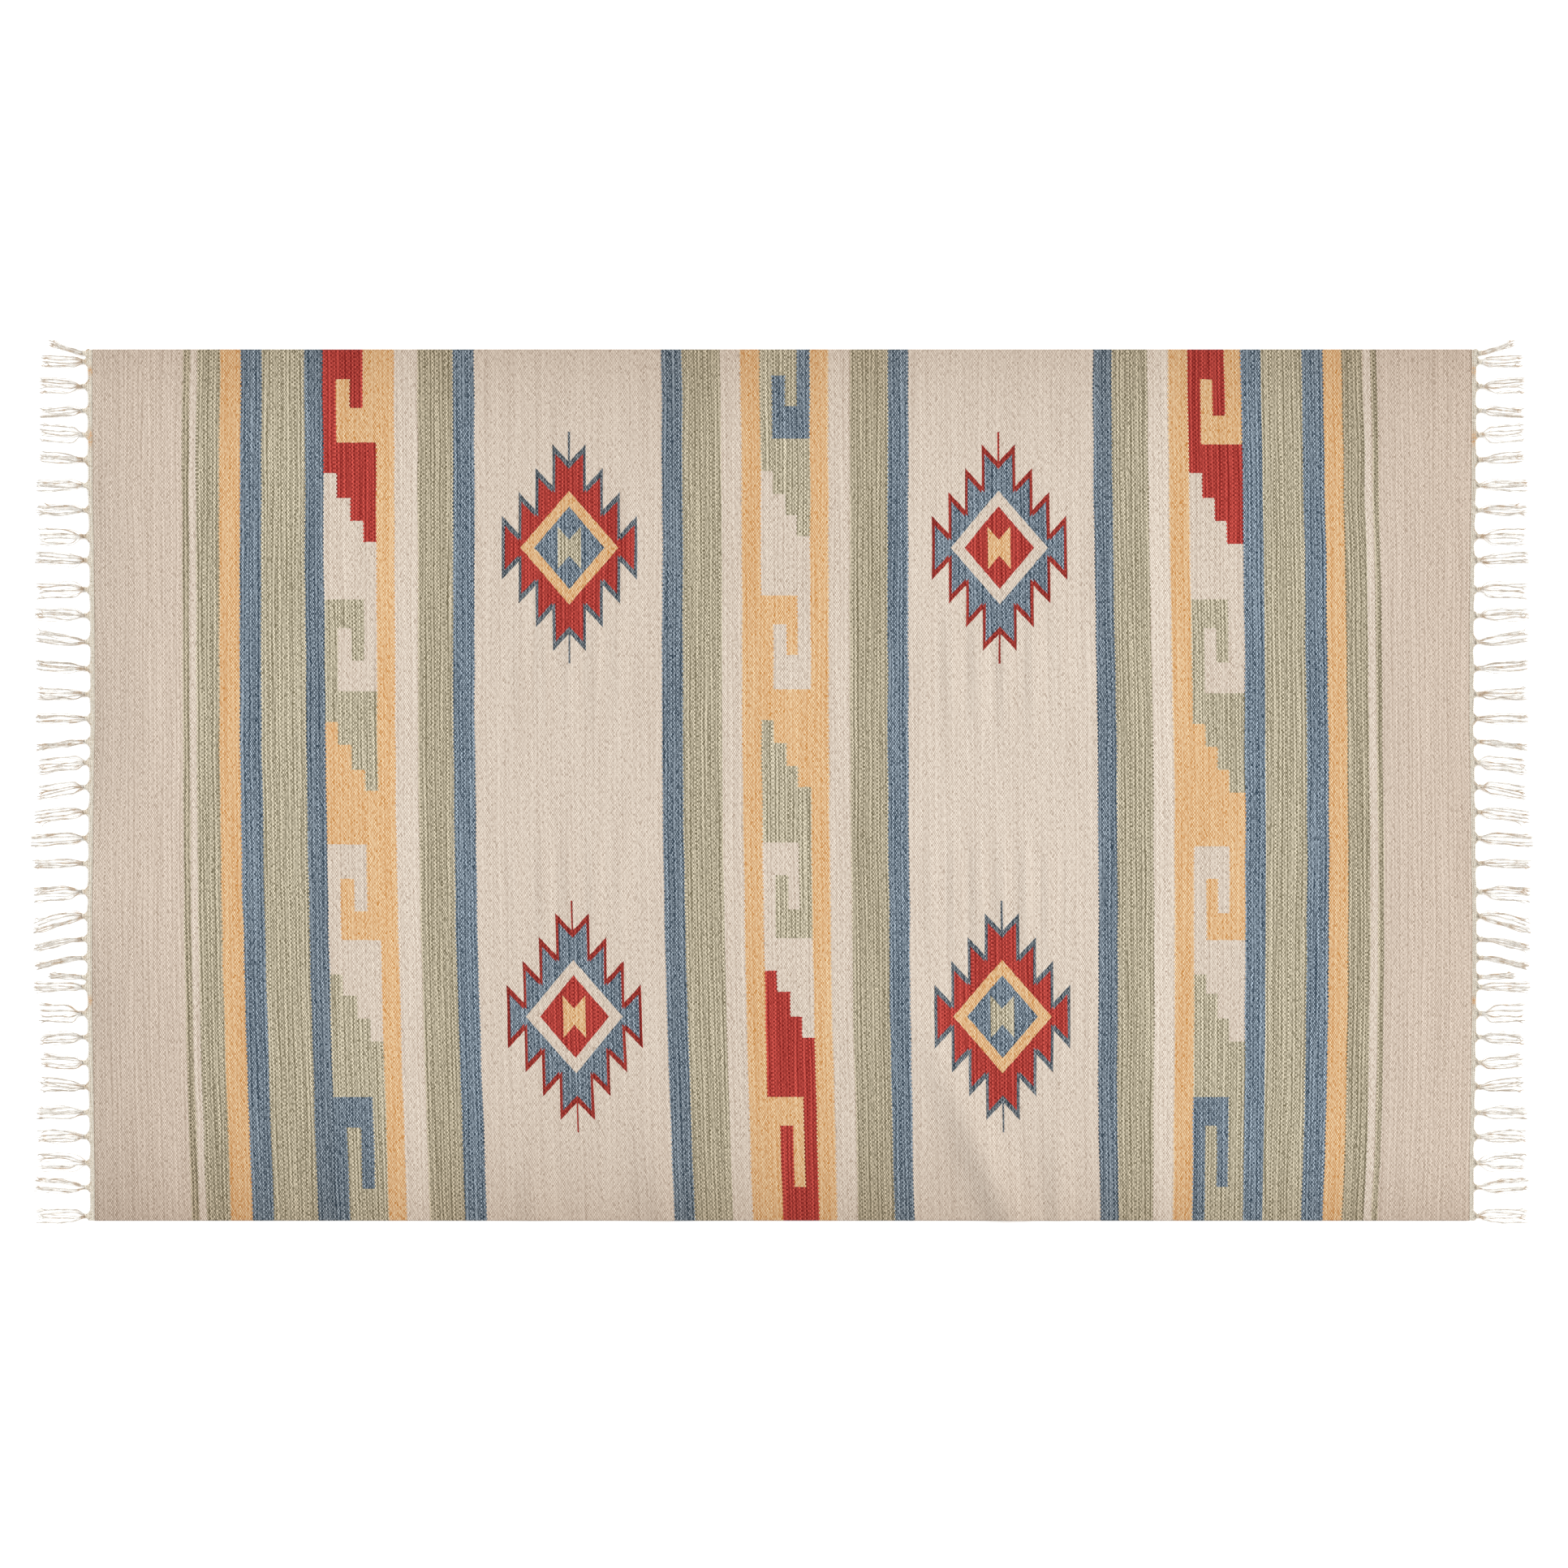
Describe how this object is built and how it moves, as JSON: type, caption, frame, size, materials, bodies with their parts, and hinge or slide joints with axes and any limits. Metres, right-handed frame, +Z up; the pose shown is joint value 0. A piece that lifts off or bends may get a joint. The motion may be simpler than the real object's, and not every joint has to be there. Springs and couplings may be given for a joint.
{
  "type": "kilim rug",
  "caption": "Flat-woven kilim rug lying flat, with stripes, stepped hook bands, serrated diamond medallions and knotted warp tassels along both ends.",
  "frame": {"origin": "middle of the whole rug's footprint, fringes included, at floor level", "axes": "+X along the warp, from one fringe to the other; +Y across the rug, selvedge to selvedge; +Z up"},
  "size_m": [2.412, 1.4194, 0.0041],
  "materials": {
    "kilim_weave": "matte weft-faced wool weave in sand, pale rose-beige, sage green, orange, blue and red",
    "warp_yarn": "matte off-white cotton yarn"
  },
  "bodies": {
    "root": {"cloth": "kilim_weave", "fringe_right": "warp_yarn", "fringe_left": "warp_yarn"}
  },
  "joints": []
}
